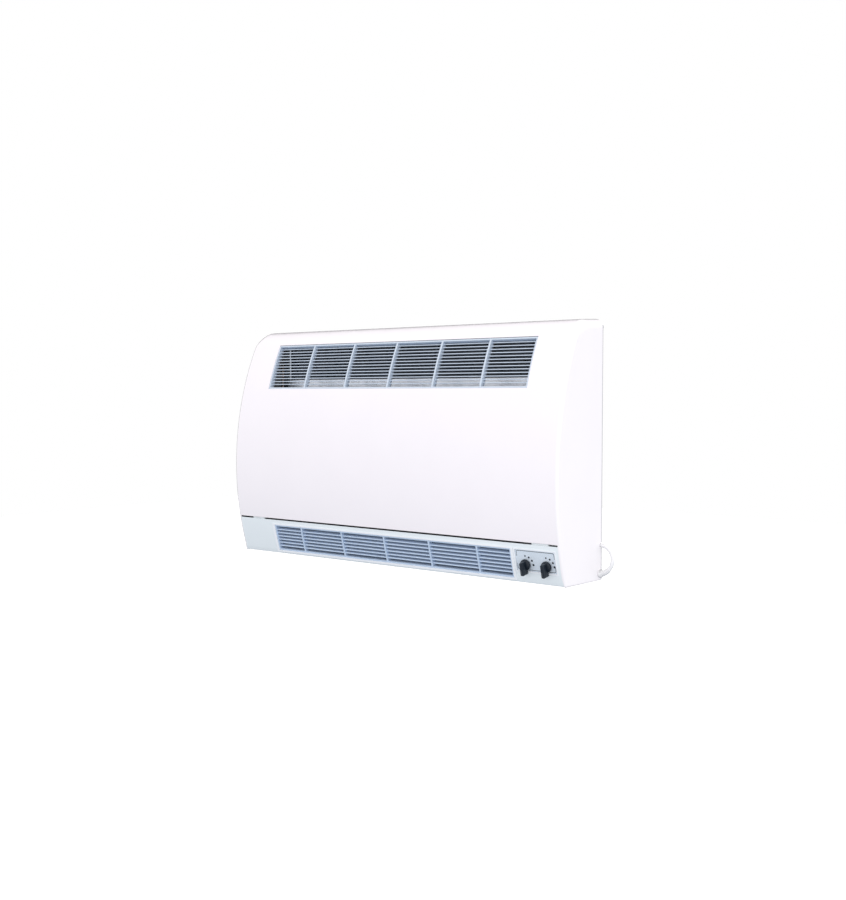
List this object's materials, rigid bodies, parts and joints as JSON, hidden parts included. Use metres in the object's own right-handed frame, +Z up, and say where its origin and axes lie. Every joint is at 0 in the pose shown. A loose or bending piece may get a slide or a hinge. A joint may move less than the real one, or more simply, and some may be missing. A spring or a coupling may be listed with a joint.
{
  "type": "fan convector heater",
  "caption": "Low-level wall-hung fan convector: bowed white casing, silver inlet and outlet grilles, two rotary dials, finned coil, tangential fan and short flex.",
  "frame": {"origin": "middle of the back plate's wall face, halfway up the casing", "axes": "+X to the right seen from the room, +Y into the wall, +Z up; the front faces -Y"},
  "size_m": [0.7712, 0.1369, 0.43],
  "materials": {
    "white_enamel": "satin white stoved enamel",
    "white_moulding": "satin white moulding",
    "silver_moulding": "silver-grey moulding",
    "silver_plate": "silver-grey, fine grain",
    "charcoal_knob": "charcoal, satin",
    "galvanised_steel": "galvanised sheet",
    "bright_steel": "ground steel",
    "dark_steel": "dark painted steel",
    "zinc_screw": "zinc plated",
    "fin_aluminium": "mill finish",
    "copper": "drawn copper",
    "brass": "turned brass",
    "bronze": "sintered bronze",
    "cream_plastic": "cream moulding",
    "black_plastic": "black moulding",
    "white_rubber": "white",
    "white_flex": "white PVC sheath"
  },
  "bodies": {
    "casing": {"front_panel": "white_enamel", "left_end_cap": "white_enamel", "right_end_cap": "white_enamel", "lower_fascia": "white_moulding", "base_tray": "galvanised_steel", "casing_screw_left": "zinc_screw", "casing_screw_right": "zinc_screw", "inlet_grille": "silver_moulding", "outlet_grille": "silver_moulding", "control_plate": "silver_plate", "control_bracket": "galvanised_steel", "speed_switch": "cream_plastic", "room_thermostat": "cream_plastic", "electrical_box": "galvanised_steel", "electrical_box_lid": "galvanised_steel", "terminal_block": "cream_plastic", "fan_capacitor": "cream_plastic", "low_limit_thermostat": "black_plastic", "back_plate": "galvanised_steel", "chassis_side_left": "galvanised_steel", "chassis_side_right": "galvanised_steel", "fin_pack": "fin_aluminium", "coil_end_plate_left": "dark_steel", "coil_end_plate_right": "dark_steel", "flow_pipe": "copper", "return_pipe": "copper", "flow_fitting": "brass", "return_fitting": "brass", "air_vent": "brass", "fan_scroll": "galvanised_steel", "front_duct": "galvanised_steel", "fan_motor": "dark_steel", "motor_bracket": "galvanised_steel", "bearing_bracket": "galvanised_steel", "shaft_bearing": "bronze", "cable_gland": "white_rubber", "mains_flex": "white_flex", "flex_coil": "white_flex", "flex_tie": "black_plastic", "flex_peg": "white_moulding", "hairpin_tube_1": "copper", "hairpin_tube_2": "copper", "hairpin_tube_3": "copper", "hairpin_tube_4": "copper", "hairpin_tube_5": "copper", "return_bend_1": "copper", "return_bend_2": "copper", "return_bend_3": "copper", "return_bend_4": "copper"},
    "fan_rotor": {"fan_impeller": "black_plastic", "fan_shaft": "bright_steel"},
    "speed_dial": {"speed_knob": "charcoal_knob", "speed_spindle": "bright_steel"},
    "thermostat_dial": {"thermostat_knob": "charcoal_knob", "thermostat_spindle": "bright_steel"}
  },
  "joints": [
    {"name": "fan_spin", "type": "hinge", "parent": "casing", "child": "fan_rotor", "pos_m": [0, -0.058, -0.137], "axis": [1, 0, 0], "continuous": true},
    {"name": "speed_turn", "type": "hinge", "parent": "casing", "child": "speed_dial", "pos_m": [0.3015, -0.11933, -0.1827], "axis": [0, 0.9667, 0.256], "range_deg": [0, 90]},
    {"name": "thermostat_turn", "type": "hinge", "parent": "casing", "child": "thermostat_dial", "pos_m": [0.3415, -0.11933, -0.1827], "axis": [0, 0.9667, 0.256], "range_deg": [0, 90]}
  ]
}
